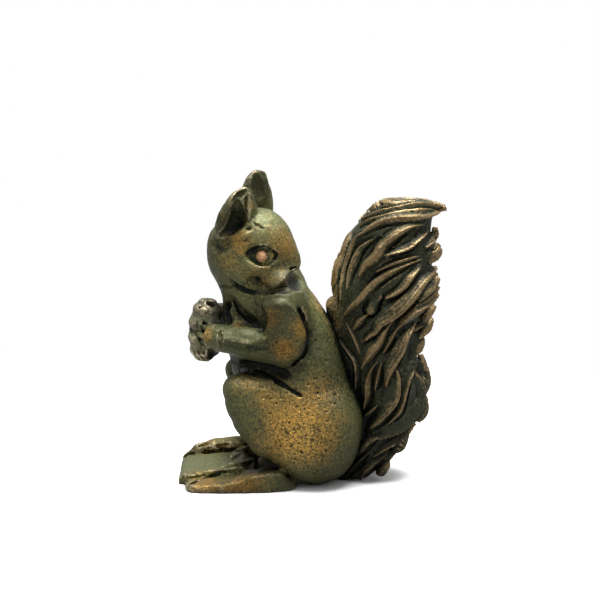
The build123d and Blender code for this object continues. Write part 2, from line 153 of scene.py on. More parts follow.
# %% [markdown]
# ## Softening and reading the wax
#
# Warm wax has no sharp edge, while the CAD castings have flat faces. A blur of the distances rounds
# them off, and on a coarser grid it reaches further at little cost. A coarse grid of random numbers
# gives the gentle swells of a surface smoothed by hand.

# %% Softening and reading a field
cell_end = 1.001
tiny = 1e-6


def soften(field, passes):
    """Blur a field by 1-2-1 strokes along each axis."""
    for _ in range(passes):
        for axis in range(3):
            stroke = np.roll(field, 1, axis)
            stroke += np.roll(field, -1, axis)
            stroke += 2 * field
            field = stroke / 4
    return field


def read(field, places, size=voxel):
    """Values of a field at places between the grid points."""
    cell = np.asarray(places) / size - block_low * voxel / size
    cell = np.clip(cell, 0, np.array(field.shape) - cell_end)
    first = cell.astype(int)
    part = cell - first
    total = 0
    for corner in product((0, 1), repeat=3):
        weight = np.prod(np.where(corner, part, 1 - part), -1)
        i, j, k = np.moveaxis(first + corner, -1, 0)
        total = total + weight * field[i, j, k]
    return total


def facing(field, places):
    """Unit normals of a field at places."""
    reach = 2 * voxel
    slope = [
        read(field, places + reach * axis) - read(field, places - reach * axis) for axis in np.eye(3)
    ]
    normal = np.stack(slope, -1)
    return normal / np.maximum(np.linalg.norm(normal, axis=-1, keepdims=True), tiny)


# %% Softer copies and random swells
def coarse(field, step, passes):
    """A softer copy of a field on a wider grid."""
    return soften(field[::step, ::step, ::step].copy(), passes)


def spread(small, step, ease=False):
    """Bring a coarse copy back to the full grid."""
    for axis in range(3):
        at = np.clip(np.arange(shape[axis]) / step, 0, small.shape[axis] - cell_end)
        first = at.astype(int)
        part = (at - first).astype(np.float32).reshape([-1 if a == axis else 1 for a in range(3)])
        part = part * part * (3 - 2 * part) if ease else part
        small = np.take(small, first, axis) * (1 - part) + np.take(small, first + 1, axis) * part
    return small


def round_off(field, passes, step=2):
    """A field softened over several millimetres."""
    return spread(coarse(field, step, passes), step)


def swells(size):
    """Smooth random swells of about a size over the block."""
    count = [int(n * voxel / size) + 3 for n in shape]
    return spread(chance.standard_normal(count).astype(np.float32), size / voxel, ease=True)


def melt(a, b, radius):
    """Join two fields with a soft fillet."""
    overlap = np.maximum(radius - np.abs(a - b), 0)
    return np.minimum(a, b) - overlap * overlap / (4 * radius)


# %% [markdown]
# ## Where a mark lies
#
# A line of sight from the camera places each mark: it lies on the wax, and shows where the photograph
# shows it. Points in space would do too, but they would have to follow each change of the wax.

# %% Lines of sight
figure_reach = 42
sight_step = 0.25
sight_depths = np.arange(camera_distance - figure_reach, camera_distance + figure_reach, sight_step)


def lines_of_sight(marks):
    """Ways from the camera through picture points."""
    marks = np.array(marks, float)
    across, down = ((marks - picture_points / 2) * view_width / picture_points).T[..., None]
    return aim + across * sight_right - down * sight_up - eye


def touch(field, marks):
    """Places just under the skin, where the lines of sight through picture points meet the wax."""
    heads = lines_of_sight(marks)
    heads /= np.linalg.norm(heads, axis=1, keepdims=True)
    places = eye + heads[:, None] * sight_depths[None, :, None]
    depth = read(field, places)
    inside = depth < 0
    first = np.where(inside.any(1), inside.argmax(1), depth.argmin(1))
    row = np.arange(len(marks))
    sunk = np.clip(-depth[row, first], 0, 1)
    return places[row, first] + sunk[:, None] * heads


def place_at(marks, y):
    """Where the lines of sight through picture points cross an upright plane along the figure."""
    heads = lines_of_sight(marks)
    return eye + heads * (y - eye[1]) / heads[:, 1:2]


def glide(points, step=0.8):
    """A smooth run of evenly spaced points through a few given ones."""
    points = np.array(points, float)
    ends = np.vstack([2 * points[0] - points[1], points, 2 * points[-1] - points[-2]])
    run = []
    for a, b, c, d in zip(ends, ends[1:], ends[2:], ends[3:]):
        count = max(2, int(np.linalg.norm(c - b) / step))
        t = np.arange(count)[:, None] / count
        bend = t**2 * (a - 2.5 * b + 2 * c - d / 2)
        run.append(b + t * (c - a) / 2 + bend + t**3 * (1.5 * (b - c) + (d - a) / 2))
    return np.vstack(run + [points[-1:]])


print("lines of sight cross", len(sight_depths), "depths")

# %% [markdown]
# ## Tools for the wax
#
# The sculptor had a thumb, a wire loop and a knife. Two tools stand for them: a roll adds a tapering
# sausage of wax, and a groove takes one away. Along a line of marks they make a ridge or a scored
# line that swells from its root and thins out to its tip.


# %% Rolls and grooves
def swell(count, root, tip, fullest=0.45):
    """Shares along a run, from root through 1 at the fullest place to tip."""
    t = np.linspace(0, 1, count)
    rising = root + (1 - root) * np.sin(pi / 2 * np.clip(t / fullest, 0, 1))
    falling = tip + (1 - tip) * np.cos(pi / 2 * np.clip((t - fullest) / (1 - fullest), 0, 1))
    return np.where(t < fullest, rising, falling)


def window(points, reach):
    """Slices of the block round some points, and the places there."""
    points = np.asarray(points)
    first = np.floor((points.min(0) - reach) / voxel).astype(int) - block_low
    last = np.ceil((points.max(0) + reach) / voxel).astype(int) - block_low + 1
    cut = tuple(slice(max(a, 0), max(min(b, n), 0)) for a, b, n in zip(first, last, shape))
    x, y, z = (ticks[axis][cut[axis]].astype(np.float32) for axis in range(3))
    return cut, np.stack(np.meshgrid(x, y, z, indexing="ij"), -1)


def cone_distance(places, p, q, r, s):
    """Distance from places to a round cone from p with radius r to q with radius s."""
    span = q - p
    t = np.clip(((places - p) @ span) / max(float(span @ span), 1e-9), 0, 1)
    return np.linalg.norm(places - p - t[..., None] * span, axis=-1) - (r + (s - r) * t)


def roll(field, points, radii, blend, sign=1):
    """Press a tapering roll of wax on to a field, or take it away where sign is -1."""
    points = np.asarray(points, np.float32)
    radii = np.broadcast_to(radii, len(points))
    for p, q, r, s in zip(points, points[1:], radii, radii[1:]):
        cut, places = window([p, q], max(r, s) + blend + voxel)
        field[cut] = sign * melt(sign * field[cut], cone_distance(places, p, q, r, s), blend)


def groove(field, points, radii, blend):
    """Take a tapering roll of wax away."""
    roll(field, points, radii, blend, -1)


# %% Marks along picture points
def run_tool(tool, side, field, marks, width, depth, blend, root, tip):
    """Use a tool along picture points, its middle held to one side of the skin."""
    line = glide(touch(field, marks))
    share = swell(len(line), root, tip)
    radius = width / 2 * share
    out = side * facing(field, line)
    tool(field, line + out * (radius - depth * share)[:, None], radius, blend)


def score(field, marks, width, depth, blend=0.3, root=0.3, tip=0.3):
    """Draw a groove of a given width and depth along picture points."""
    run_tool(groove, 1, field, marks, width, depth, blend, root, tip)


def raise_ridge(field, marks, width, height, blend=0.4, root=0.3, tip=0.3):
    """Lay a low ridge of a given width and height along picture points."""
    run_tool(roll, -1, field, marks, width, height, blend, root, tip)


def draw(field, marks):
    """Use each named mark's tool on its line of picture points."""
    for tool, line, *sizes in marks.values():
        tool(field, line, *sizes)
    print("drawn:", ", ".join(marks))


across_figure = np.array([1, -1, 1])


def both_sides(tool, field, points, *sizes):
    """Use a tool on the near side and again on the far side."""
    tool(field, points, *sizes)
    tool(field, points * across_figure, *sizes)


# %% [markdown]
# ## Pressing the castings together
#
# No seam shows on the real figure. So each lump is softened and melted into the trunk, with a wide
# fillet at the shoulders and a narrow one at ears and feet. The near toes are pared down first, and
# the eye sockets are half filled, to be drawn again.

# %% The figure as one wax
trunk_passes = 16
head_passes = 12
filling_passes = 24
filling_drop = 0.45
neck_fillet = 1.0
knife_blend = 1.0
far_ear_shift = 4
# height of the near foot above the ground, for places along the figure
near_foot_top = [(-40, 1.9), (-33, 2.4), (-27, 2.6), (-23, 3.1), (-19, 4.8), (-15, 5.2), (-9, 6.0), (-5, 6.0)]
near_foot_room = [(-42, -20, -1), (0, -6, 12)]
# each limb: fillet and passes of softening
limbs = {
    "left_foot": (1.0, 4),
    "right_foot": (1.0, 4),
    "foot_web": (0.8, 2),
    "left_arm": (2.4, 8),
    "right_arm": (2.4, 8),
    "left_ear": (0.8, 3),
    "right_ear": (0.8, 3),
    "nut": (0.6, 3),
}


def shave(field, room, heights):
    """Pare the wax in a room of two corners down to heights along the figure."""
    cut, places = window(room, 0)
    above = places[..., 2] - np.interp(places[..., 0], *zip(*heights))
    field[cut] = -melt(-field[cut], -above.astype(np.float32), knife_blend)


head = soften(lumps["head"], head_passes)
head = np.minimum(head, round_off(lumps["head"], filling_passes) + filling_drop)
figure = melt(round_off(lumps["body"], trunk_passes), head, neck_fillet)
for name, (fillet, passes) in limbs.items():
    wax = soften(lumps[name].copy(), passes)
    if name == "left_foot":
        shave(wax, near_foot_room, near_foot_top)
    if name == "left_ear":
        # the far ear is set a little further back on the skull
        wax = np.roll(wax, -far_ear_shift, 0)
    figure = melt(figure, wax, fillet)
print("figure pressed together")

# %% [markdown]
# ## Rolls on the figure
#
# To thicken a shoulder or a knee, a sculptor presses on a roll of wax and smooths it in. The same is
# done here on both sides, because the photograph shows only one. The plate between the feet is a
# sheet of wax whose top climbs towards the haunches.

# %% Rolls smoothed into shoulders, nape and toes
def press_rolls(field, rolls):
    """Press rolls on one side or on both, each in an upright plane along the figure."""
    for sides, line, plane, radii, blend in rolls.values():
        points = place_at(line, plane)
        if sides == 2:
            both_sides(roll, field, points, radii, blend)
        else:
            roll(field, points, radii, blend)
    print("pressed on:", ", ".join(rolls))


# each roll: on how many sides, its line in picture points, its plane, radii and blend
upper_rolls = {
    "shoulder into chest": (2, [(282, 288), (284, 305), (286, 325)], -9.5, [5.0, 5.8, 5.6], 3.0),
    "upper arm": (2, [(290, 318), (292, 338), (284, 352)], -11.6, [4.0, 4.2, 3.8], 2.0),
    "forearm heel": (2, [(268, 346), (245, 341), (226, 339)], -10.6, [4.4, 4.0, 3.2], 2.0),
    "nape": (1, [(236, 246), (238, 262), (245, 284), (249, 300)], -1, [7.6, 7.4, 6.4, 6.4], 3.0),
    "far toes": (1, [(188, 458), (200, 451), (215, 447.5), (240, 445)], 12, [1.6, 2.2, 2.6, 2.8], 1.0),
}
press_rolls(figure, upper_rolls)

# %% Plate between the feet
# height of the plate above the ground, for places along the figure from its front edge
plate_top = [(-39.1, 1.9), (-38, 2.9), (-33.6, 3.7), (-28, 4.5), (-21, 5.2), (-16.5, 1.5)]
plate_half_width = 8.0
plate_room = 3
plate_headroom = 6


def plate(field, heights, half_width, blend):
    """Press on a flat plate whose top follows heights along the figure."""
    front, back = heights[0][0], heights[-1][0]
    corners = [(front, -half_width, 0), (back, half_width, plate_headroom)]
    cut, places = window(corners, plate_room)
    x, y, z = np.moveaxis(places, -1, 0)
    top = z - np.interp(x, *zip(*heights)).astype(np.float32)
    form = np.maximum.reduce([front - x, x - back, -half_width - y, y - half_width, top])
    field[cut] = melt(field[cut], form, blend)


plate(figure, plate_top, plate_half_width, 0.8)
print("plate from", plate_top[0][0], "to", plate_top[-1][0], "mm")

# %% Haunches, knees and breast
lower_rolls = {
    "web at the heel": (2, [(266, 462), (279, 467), (292, 474)], -7.0, [2.4, 2.4, 2.2], 1.0),
    "knee": (2, [(236, 390), (241, 406), (250, 423), (263, 443)], -11, [3.6, 3.8, 4.0, 3.8], 2.0),
    "breast": (1, [(255, 300), (254, 330), (258, 362)], 0, [7.0, 7.4, 7.6], 4.0),
    "haunch into back": (2, [(300, 400), (322, 420), (322, 446)], -6.0, [9.0, 10.0, 9.5], 5.0),
}
press_rolls(figure, lower_rolls)

# %% [markdown]
# ## Tool marks on the figure
#
# The dark lines that part arm, breast, thigh and chin are grooves drawn with a wire loop, and the
# light lines beside them are the wax that it pushed up. Bump in a material could show them, but a
# groove in the wax also catches shadow and stays in the mesh. Each mark has its tool, line in
# picture points, width, depth or height, blend, and the shares left at root and tip.

# %% Marks between breast, arm and thigh
breast_marks = {
    "breast hollow": (score, [(231, 300), (238, 311), (247, 319), (257, 326)], 4, 1, 1, 0.7, 0.2),
    "line in it": (score, [(235, 302), (240, 312), (249, 320), (260, 327)], 1.2, 0.8, 0.3, 0.8, 0.2),
}
arm_gap = [(299, 309), (303.5, 320), (307.5, 333), (306, 346), (301, 357), (292, 365)]
arm_gap_planes = (-18, -16.5, -15, -13.5, -12.2)
arm_gap_radius = 0.7
lap_marks = {
    "lap recess": (score, [(245, 365), (258, 367), (276, 371), (288, 375)], 4, 1.5, 1.2, 0.6, 0.3),
    "thigh crease": (
        score, [(231, 373), (245, 370.5), (262, 374), (280, 383), (292, 391), (301, 396)],
        1.8, 1.2, 0.6, 0.5, 0.3,
    ),
    "forearm edge": (
        raise_ridge, [(221, 338), (237, 341), (248, 343.5), (258, 342), (268, 338)], 1.4, 0.45, 0.8,
    ),
    "line under it": (score, [(224, 344), (240, 347), (256, 350), (270, 348)], 1.8, 0.4, 0.8),
    "shoulder edge": (raise_ridge, [(264, 306), (278, 303.5), (290, 306), (296, 313)], 1.6, 0.5, 0.8),
    "shoulder hollow": (score, [(262, 309), (264, 318), (262, 330)], 3, 0.4, 1.2),
}
draw(figure, breast_marks)
for plane in arm_gap_planes:
    both_sides(groove, figure, glide(place_at(arm_gap, plane)), arm_gap_radius, 0.2)
draw(figure, lap_marks)

# %% Marks on head and ears
head_marks = {
    "chin line": (
        score, [(228, 278), (240, 287.5), (252, 292.5), (266, 293), (281, 289.5), (293, 280)],
        1.5, 0.7, 0.5, 0.3, 0.7,
    ),
    "brow": (raise_ridge, [(238, 240), (244, 237), (251, 232)], 2.4, 0.5, 1),
    "cheek": (score, [(213, 245), (222, 247), (231, 245)], 3.4, 0.35, 1.5),
    "brow crease": (score, [(253, 222.5), (258, 226), (264, 229)], 0.9, 0.5, 0.1),
    "ear nick": (score, [(246.5, 229.5), (249.5, 228)], 1, 0.7, 0.1, 0.8, 0.8),
    "near ear cup": (
        score, [(236, 203), (238, 213), (236, 221), (229, 229), (222, 235)], 4.8, 2.2, 0.3, 0.5, 0.35,
    ),
    "front rim": (raise_ridge, [(249, 194), (249, 204), (249, 214), (249.5, 222)], 1.7, 0.7, 0.3, 0.6, 0.5),
    "back rim": (raise_ridge, [(237, 194), (229, 204), (224, 214), (220, 227)], 2, 0.5, 0.5),
    "tip fold": (score, [(233, 201), (239, 195.5), (245, 191)], 1.8, 0.9, 0.3, 0.6, 0.6),
    "front rim line": (score, [(246, 198), (245.5, 206), (246.5, 213)], 1.1, 0.8, 0.2, 0.6, 0.6),
}
lump_in_ear = [(236, 206), (237, 209)]
muzzle_marks = {
    "far ear cup": (score, [(257, 178), (258, 187), (260, 195)], 5, 0.9, 0.6, 0.6, 0.6),
    "far ear rim": (raise_ridge, [(258, 172), (264, 173), (267, 184), (269, 198)], 1.1, 0.5, 0.3, 0.6, 0.5),
    "jaw cut back": (score, [(300, 279), (294, 283), (288, 288), (282, 291)], 5, 1.9, 1.2, 0.7, 0.3),
    "mouth": (score, [(291, 270), (295, 268), (300, 267.5)], 1.3, 1.1, 0.2, 0.9, 0.5),
}
draw(figure, head_marks)
roll(figure, touch(figure, lump_in_ear), [1.0, 0.9], 0.3)
draw(figure, muzzle_marks)

# %% [markdown]
# ## Eyes
#
# Each eye is an almond hollow with a sharp rim, and a bead of wax lies in it. The near one is drawn
# from the photograph, and the far one is its mirror image across the turned head.

# %% Eyes on both cheeks
skull = np.array([-18.3, -1, 67.5])
head_turn = radians(25)
face_left = np.array([sin(head_turn), cos(head_turn), 0])
lid = [
    (247.5, 253), (253, 248.5), (260, 246.5), (268, 248), (276, 254.5),
    (272, 262), (265, 266), (256, 263.5), (251, 259),
]
bead_mark = [(262, 256.5)]
upper_marks = [(251, 253.5), (262, 252), (272, 255)]
lower_marks = [(251, 255), (262, 260), (272, 257)]
bead_depths = (0.8, 1.0)
bead_radius = 2.15


def far_cheek(points):
    """The same places on the other side of the turned head."""
    return points - 2 * ((points - skull) @ face_left)[:, None] * face_left


lid_line = glide(touch(figure, lid + lid[:1]))
eye_middle = touch(figure, bead_mark)
eye_out = facing(figure, eye_middle)
# each groove: its line, how far its tool is lifted, radius and blend
eye_grooves = (
    (glide(touch(figure, upper_marks)), 1.5, 1.6, 0.4),
    (glide(touch(figure, lower_marks)), 1.4, 1.5, 0.4),
    (lid_line, -0.3, 0.5, 0.1),
)
for turn in (np.array, far_cheek):
    middle = turn(eye_middle)
    out = turn(eye_middle + eye_out) - middle
    for line, lift, radius, blend in eye_grooves:
        groove(figure, turn(line) + lift * out, radius, blend)
    roll(figure, np.vstack([middle - depth * out for depth in bead_depths]), bead_radius, 0.15)
print("eyes drawn")

# %% [markdown]
# ## Paw, nut and feet
#
# The paw is a lump with three ridges for fingers, and the nut below it has short ribs pressed in
# with the edge of a tool. The feet have a deep split between toe and sole, and thin lines along the
# top.

# %% Marks on paw and nut
finger_size = (1.5, 0.7, 0.3, 0.6, 0.5)
gap_size = (0.9, 0.8, 0.15, 0.6, 0.4)
rib_size = (1.0, 0.8, 0.2, 0.6, 0.6)
paw_marks = {
    "paw slit": (score, [(192, 320), (203, 322.5), (209, 326), (219, 329)], 1.1, 1.3, 0.2, 0.6, 0.6),
    "behind the nut": (score, [(229, 303), (227, 313), (230, 324)], 3, 1.5, 0.4, 0.5, 0.5),
    "upper pit": (score, [(209, 303), (213, 305.5)], 1.8, 1.5, 0.2, 0.8, 0.8),
    "front pit": (score, [(199, 308), (204, 313)], 1.2, 0.9, 0.2, 0.8, 0.8),
    "first finger": (raise_ridge, [(194, 324.5), (206, 327.5), (219, 332)], *finger_size),
    "second finger": (raise_ridge, [(190.5, 329.5), (200, 335), (210, 343)], *finger_size),
    "third finger": (raise_ridge, [(190, 335.5), (197, 341), (204, 347)], *finger_size),
    "first gap": (score, [(192, 327), (203, 331), (216, 337)], *gap_size),
    "second gap": (score, [(190, 332.5), (199, 338.5), (208, 346)], *gap_size),
    "first rib": (score, [(189, 340), (193, 350), (199, 360)], *rib_size),
    "second rib": (score, [(193, 343), (198, 351), (205, 361)], *rib_size),
    "third rib": (score, [(198, 346), (203, 352), (208, 359)], *rib_size),
    "under the paw": (score, [(211, 350), (214, 356), (213, 362)], 3, 1.8, 0.3, 0.7, 0.6),
    "wrist crease": (score, [(220, 331), (220.5, 340), (221, 348)], 1.2, 0.7, 0.3, 0.6, 0.6),
}
draw(figure, paw_marks)

# %% Marks on the feet
foot_marks = {
    "near toe split": (
        score, [(188, 487.5), (193, 482.5), (206, 478), (220, 473.5), (228, 471.5)], 1.6, 1.5, 0.2, 0.8, 0.3,
    ),
    "far toe split": (
        score, [(185, 457), (192, 454.5), (205, 453.5), (220, 451), (235, 449), (247, 444)],
        2.2, 1.8, 0.2, 0.6, 0.4,
    ),
    "long toe line": (score, [(206, 448.7), (222, 446), (230, 444), (246, 443)], 1.1, 0.8, 0.2),
    "short toe line": (score, [(197, 447), (202, 445), (210, 444)], 0.9, 0.6, 0.2),
    "foot ridge": (raise_ridge, [(231, 483), (238, 479), (244, 476), (250, 472.5)], 1.4, 0.5, 0.4),
    "plate edge": (raise_ridge, [(219, 470), (228, 466), (242, 463), (253, 460)], 1.4, 0.7, 0.5),
    "far foot ridge": (raise_ridge, [(231, 460), (239, 452), (248, 447)], 2.6, 1.1, 0.6),
}
draw(figure, foot_marks)

# %% [markdown]
# ## Hand-worked surface and casting pores
#
# A smoothed wax still swells and dips by a few hundredths of a millimetre, and gas in the mould
# leaves pores. The swells are added to the whole field. The pores are short grooves at random
# places, most of them on the thigh, where the photograph shows them.

# %% Surface of the figure
# height and size of each kind of swell
surface_swells = ((0.09, 4.5), (0.05, 1.7), (0.02, 0.8))
# each field of pores: two corners in picture points, and how many
pore_fields = {
    "nut": ((194, 297), (224, 318), 40),
    "foot of the thigh": ((255, 450), (330, 480), 60),
    "thigh": ((275, 385), (345, 460), 150),
    "knee": ((240, 375), (290, 420), 40),
    "back": ((308, 330), (345, 385), 40),
    "upper arm": ((262, 310), (300, 360), 30),
}
pore_length = 0.5
pore_radii = (0.12, 0.27)
figure += sum(height * swells(size) for height, size in surface_swells)
for (left, top), (right, bottom), count in pore_fields.values():
    marks = np.stack([chance.uniform(left, right, count), chance.uniform(top, bottom, count)], 1)
    spots = touch(figure, marks)
    out = facing(figure, spots)
    for spot, normal, size in zip(spots, out, chance.uniform(*pore_radii, count)):
        drift = chance.uniform(-pore_length, pore_length, 3)
        pore = np.array([spot, spot + drift - (drift @ normal) * normal])
        both_sides(groove, figure, pore, size, 0.05)
print("pores on", ", ".join(pore_fields))

# %% [markdown]
# ## Tail
#
# The tail is a bent core under pointed locks of fur. The sculptor laid each lock as a blade of wax,
# with a ridge along it and a cut under its edges, so that it stands off in the light. Hair strands or
# a displaced surface could be used, but neither gives these broad, carved blades. The locks of the
# CAD file are worn down to a bed, and each lock of the photograph is laid on it, on both sides.

# %% Bed of the tail
bed_passes = 10
bed_drop = 0.35
lock_passes = 2
lock_drop = 0.5
tail_bed = round_off(lumps["tail"], bed_passes) + bed_drop
tail = np.maximum(tail_bed, soften(lumps["tail"], lock_passes) + lock_drop)
seat_marks = [(336, 306), (343, 330), (350, 352), (357, 385), (357, 415), (352, 440), (343, 468)]
seat_radii = [3.0, 4.0, 5.0, 5.0, 5.0, 5.0, 4.5]
for field in (tail_bed, tail):
    roll(field, place_at(seat_marks, 0), seat_radii, 2.0)
print("tail bed ready")

# %% A blade of wax
undercut_radius = 0.75
far_undercut_share = 0.55
cut_place_share = 1.02
strand_height = 0.15
strand_pitch = 7.0
strand_fade = 1.1
ridge_lean_share = 0.6
blade_power = 1.35
blade_scale = 0.8
blade_foot = 1.2
blade_overlap = 0.1
blade_room = 0.6


def lay_lock(field, line, out, width, height, lean, hand, root=0.35, tip=0.12):
    """Lay a blade of wax along a line: a ridge with a slope to each side, and a cut under it."""
    count = len(line)
    share = swell(count, root, tip)
    along = np.gradient(line, axis=0)
    along /= np.linalg.norm(along, axis=1, keepdims=True)
    out = out - np.sum(out * along, 1, keepdims=True) * along
    out /= np.linalg.norm(out, axis=1, keepdims=True)
    side = hand * np.cross(along, out)
    half = width / 2 * share
    top = height * np.sqrt(share)
    edge = side * (half * cut_place_share)[:, None]
    groove(field, line + edge, undercut_radius * share, 0.15)
    groove(field, line - edge, far_undercut_share * undercut_radius * share, 0.15)
    phase = chance.uniform(0, 6.28)
    for i in range(count - 1):
        cut, places = window(line[i : i + 2], max(half[i], half[i + 1]) + top[i] + blade_room)
        span = line[i + 1] - line[i]
        length = float(np.linalg.norm(span))
        raw = ((places - line[i]) @ span) / length**2
        t = np.clip(raw, 0, 1)
        beyond = np.abs(raw - t) * length
        offset = places - line[i] - t[..., None] * span
        u = offset @ side[i] * (1 - t) + offset @ side[i + 1] * t
        v = offset @ out[i] * (1 - t) + offset @ out[i + 1] * t
        a = half[i] * (1 - t) + half[i + 1] * t
        h = top[i] * (1 - t) + top[i + 1] * t
        ridge = lean * a * ridge_lean_share
        q = np.abs(u - ridge) / np.where(u > ridge, a - ridge, a + ridge)
        strands = strand_height * np.cos(u * strand_pitch + phase) * np.clip(strand_fade - q, 0, 1)
        blade = (v - h * (1 - q**blade_power) - strands) * blade_scale
        ends = np.maximum(-v - blade_foot, beyond - blade_overlap)
        field[cut] = np.minimum(field[cut], np.maximum(np.maximum(blade, np.abs(u) - a), ends))


# %% Locks of the tail
# each lock: width, height, where its ridge leans, and marks from root to tip
tail_locks = [
    (2.2, 1.3, 0, (336, 306), (337, 295), (338, 281), (340, 266), (343.5, 252), (347, 241), (351, 234),
     (358, 226)),
    (2, 1.2, 0.3, (341, 300), (343, 276), (348, 258), (352, 245), (358, 236), (365, 232), (372, 228)),
    (2, 1.2, -0.3, (347, 290), (350, 274), (354, 262), (360, 250), (368, 243), (379, 236)),
    (2.3, 1.5, 0.4, (360, 226), (370, 220.7), (382, 217.5), (393, 215), (405, 213), (422, 211), (436, 210),
     (447, 210)),
    (2.2, 1.5, 0, (362, 220), (379, 213.5), (390, 211), (402, 208.5), (413, 206), (425, 205), (445, 206)),
    (2.4, 1.4, 0, (368, 214), (376, 206), (386, 204), (397, 205), (408, 203), (424, 203)),
    (2.4, 1.7, 0.5, (362, 234), (371, 227), (379, 222.5), (386, 220), (400, 218), (413, 217), (426, 216),
     (440, 213)),
    (2.9, 2.2, 0.5, (360, 276), (365, 266), (376, 256), (380, 249), (385, 243), (393, 236), (402, 230),
     (411, 226), (422, 224)),
    (1.7, 1.5, 0.3, (384, 256), (398, 251), (408, 247), (415, 242), (422, 236), (428, 230)),
    (2.2, 1.4, 0, (425, 248), (431, 243), (435, 236), (437, 228)),
    (1.5, 1.2, 0, (376, 272), (388, 266), (402, 261), (413, 257.5), (421, 256)),
    (2, 2, 0.2, (345, 315), (351, 308), (359, 300.5), (365, 293.5), (373, 285), (382, 278), (391, 272.5),
     (401, 267.5), (411, 263), (422, 259)),
    (2.1, 1.9, 0.2, (385, 298), (393, 294), (402, 287), (408, 280), (413, 274), (421, 266)),
    (1.7, 1.2, 0, (353, 330), (358, 323), (364, 317), (371, 313)),
    (3.2, 2, 0.5, (366, 340), (375, 332), (380, 323), (389, 317), (399, 309), (408, 300), (415, 292),
     (422, 283), (430, 275), (437, 268)),
    (3, 1.6, 0, (428, 263), (435, 256), (442, 249)),
    (2.3, 1.7, -0.2, (418, 301), (425, 293.5), (433, 286), (440, 278)),
    (1.9, 1.5, 0, (409, 314), (416, 306), (425, 300), (434, 293), (440, 287)),
    (2.6, 1.8, -0.3, (393, 333), (402, 323), (411, 315), (422, 308), (430, 302), (439, 294)),
    (2, 1.5, 0.3, (412, 331), (422, 322), (430, 313), (436, 306)),
    (2, 1.4, 0, (418, 339), (427, 329), (433, 318)),
    (1.2, 1.1, 0, (362, 343), (369, 336), (379, 328), (388, 321)),
    (2.3, 1.9, -0.4, (362.5, 369), (366, 361), (372, 352), (379, 343.5), (383, 335), (388, 326), (395, 318)),
    (1.6, 1.4, 0, (383, 353), (387.5, 344), (392, 336), (398, 327)),
    (3, 2, 0.6, (386, 386), (388, 374), (393, 361), (398, 352), (403.5, 341), (409, 331), (415, 323)),
    (1.7, 1.8, -0.3, (366, 409), (367.5, 396), (367.5, 385), (369, 376), (372, 368), (378, 361)),
    (1.5, 1.3, 0, (375, 390), (377, 381), (379, 371), (382, 361)),
    (2.5, 2.1, 0.3, (371, 428), (379, 421), (384, 414), (389, 407), (394, 399), (396.5, 389), (397.5, 377),
     (394, 366)),
    (1.7, 1.5, -0.2, (388, 424), (398, 414), (402, 404), (405, 391), (409, 379), (413, 371), (410, 362)),
    (3.6, 2, 0.75, (378, 437), (389, 432), (400, 426), (410, 417), (417, 407), (420, 397), (420, 388),
     (417, 379), (413, 370)),
    (1.8, 1.6, 0.2, (346, 461), (355, 455), (362, 448), (369, 441.5), (377, 437), (388, 433)),
    (2.2, 1.4, 0, (415, 356), (420, 346), (424, 338)),
    (2.6, 1.5, 0, (419, 390), (423, 378), (424, 366), (422, 354)),
    (2.2, 1.4, 0, (424, 394), (427, 384), (426, 373), (423, 362)),
    (2.2, 1.4, 0, (418, 422), (424, 414), (426, 404), (425, 397)),
    (1.8, 1.6, 0.3, (373, 456), (385, 447), (396, 440), (408, 430), (416, 422)),
    (2.4, 1.5, 0, (394, 452), (401, 446), (405, 438), (409, 429)),
    (1.8, 1.6, 0.2, (360, 479), (363, 472), (371, 464.5), (379, 457.5), (390, 449)),
    (1.6, 1.3, 0, (375, 470), (388, 458), (396, 451)),
    (1.8, 1.4, 0, (379, 475), (385, 469), (390, 461)),
    (1.2, 1, 0, (340, 340), (346, 349), (352, 357), (356, 364), (357, 380), (356, 398), (357, 412)),
    (1.2, 1, 0, (346, 322), (352, 333), (357, 345), (361, 356)),
    (1.4, 1.2, 0, (345, 478), (352, 468), (362, 458), (372, 449)),
    (1.6, 1.3, 0, (361, 440), (362, 428), (366, 417), (372, 411), (380, 403)),
    (1.4, 1, 0, (334, 296), (334, 280), (336, 266), (340, 252)),
]
print(len(tail_locks), "locks on each side")

# %% Locks laid on the bed
lock_width_scale = 1.35
lock_height_scale = 0.95
lock_seat = 0.1
tail_swells = ((0.06, 1.7), (0.04, 0.8))
drop_marks = [(380, 295.5), (376, 300), (373, 305), (371, 309.5)]
drop_radii = [0.5, 1.0, 1.45, 1.5]
drop_lift = 0.5
drop_ring = [(384, 296), (379, 304), (376, 313), (369, 316), (364, 311), (367, 303), (374, 296)]
tail += sum(height * swells(size) for height, size in tail_swells)
for width, height, lean, *marks in tail_locks:
    line = glide(touch(tail_bed, marks))
    out = facing(tail_bed, line)
    line = line - lock_seat * out
    sizes = (width * lock_width_scale, height * lock_height_scale, lean)
    lay_lock(tail, line, out, *sizes, 1)
    lay_lock(tail, line * across_figure, out * across_figure, *sizes, -1)
# the one lock that ends in a round drop of bright metal
drop = touch(tail, drop_marks)
drop_out = facing(tail, drop)
score(tail, drop_ring, 1.2, 0.9, 0.3)
roll(tail, drop + drop_lift * drop_out, drop_radii, 0.15)
print("locks laid on both sides, and the drop")

# %% [markdown]
# ## Wear of the patina, and painted light and shade
#
# A patina is dark in the hollows and rubbed off on the edges. Both can be read from the wax itself:
# on the skin, a blurred copy of the distances is above zero on an edge and below zero in a hollow.
# Three blurs tell edges, forms and hollows apart. What a form can't tell, such as where hands have
# polished the thigh, is given as spots at picture points. Further spots paint light and shade into
# the colour: shadow under the chin and the haunch, light on the crown, the thigh and the feet.

# %% What the form tells
whole = np.minimum(figure, tail)
edge_view = soften(whole, 3)
form_view = coarse(whole, 2, 8)
hollow_view = coarse(whole, 3, 16)
# the figure is filed flat where it stands
stand = -ticks[2].astype(np.float32)
figure = np.maximum(figure, stand)
tail = np.maximum(tail, stand)
print("wear read from three blurs")
